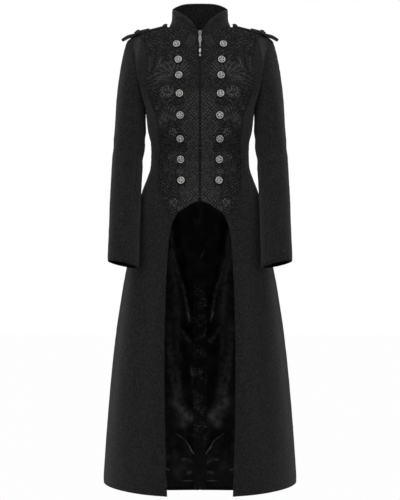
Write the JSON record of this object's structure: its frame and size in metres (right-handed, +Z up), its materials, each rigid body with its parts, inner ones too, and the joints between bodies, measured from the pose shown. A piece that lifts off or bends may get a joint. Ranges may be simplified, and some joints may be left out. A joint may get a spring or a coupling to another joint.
{
  "type": "military coat",
  "caption": "Long fitted coat with a stand collar, a zipped front cut away below the waist, rows of relief buttons, shoulder straps and long two-piece sleeves.",
  "frame": {"origin": "between the shoulders at the height of the neck's side, midway between front and back, where the wearer's shoulders hold the coat up", "axes": "+Z up, the coat's front faces -Y, +X to the right seen from the front (the wearer's left)"},
  "size_m": [0.5304, 0.4548, 1.3895],
  "materials": {
    "wool": "matt black looped wool cloth",
    "damask": "black damask with a soft sheen",
    "leather": "black grained leather-look cloth",
    "satin": "black satin",
    "zip_tape": "matt black woven tape",
    "old_silver": "antique silver plate, dark in the hollows"
  },
  "bodies": {
    "coat": {"centre_front_left": "damask", "armhole_insert_left": "wool", "side_front_left": "wool", "side_back_left": "wool", "back_left": "wool", "upper_sleeve_left": "wool", "under_sleeve_left": "wool", "lining_left": "satin", "shoulder_wedge_left": "leather", "strap_left": "leather", "strap_tab_left": "leather", "strap_keeper_left": "leather", "strap_button_left": "leather", "zip_tape_left": "zip_tape", "button_left_1": "old_silver", "button_left_2": "old_silver", "button_left_3": "old_silver", "button_left_4": "old_silver", "button_left_5": "old_silver", "button_left_6": "old_silver", "button_left_7": "old_silver", "button_left_8": "old_silver", "centre_front_right": "damask", "armhole_insert_right": "wool", "side_front_right": "wool", "side_back_right": "wool", "back_right": "wool", "upper_sleeve_right": "wool", "under_sleeve_right": "wool", "lining_right": "satin", "shoulder_wedge_right": "leather", "strap_right": "leather", "strap_tab_right": "leather", "strap_keeper_right": "leather", "strap_button_right": "leather", "zip_tape_right": "zip_tape", "button_right_1": "old_silver", "button_right_2": "old_silver", "button_right_3": "old_silver", "button_right_4": "old_silver", "button_right_5": "old_silver", "button_right_6": "old_silver", "button_right_7": "old_silver", "button_right_8": "old_silver", "collar": "wool", "vent_facing": "wool", "zip_slider": "old_silver"},
    "pull": {"zip_pull": "old_silver"},
    "drop": {"zip_drop": "old_silver"}
  },
  "joints": [
    {"name": "pull_hinge", "type": "hinge", "parent": "coat", "child": "pull", "pos_m": [0, -0.06665, -0.0243], "axis": [-1, 0, 0], "range_deg": [0, 150]},
    {"name": "drop_hinge", "type": "hinge", "parent": "pull", "child": "drop", "pos_m": [0, -0.08117, -0.06531], "axis": [-1, 0, 0], "range_deg": [0, 120]}
  ]
}
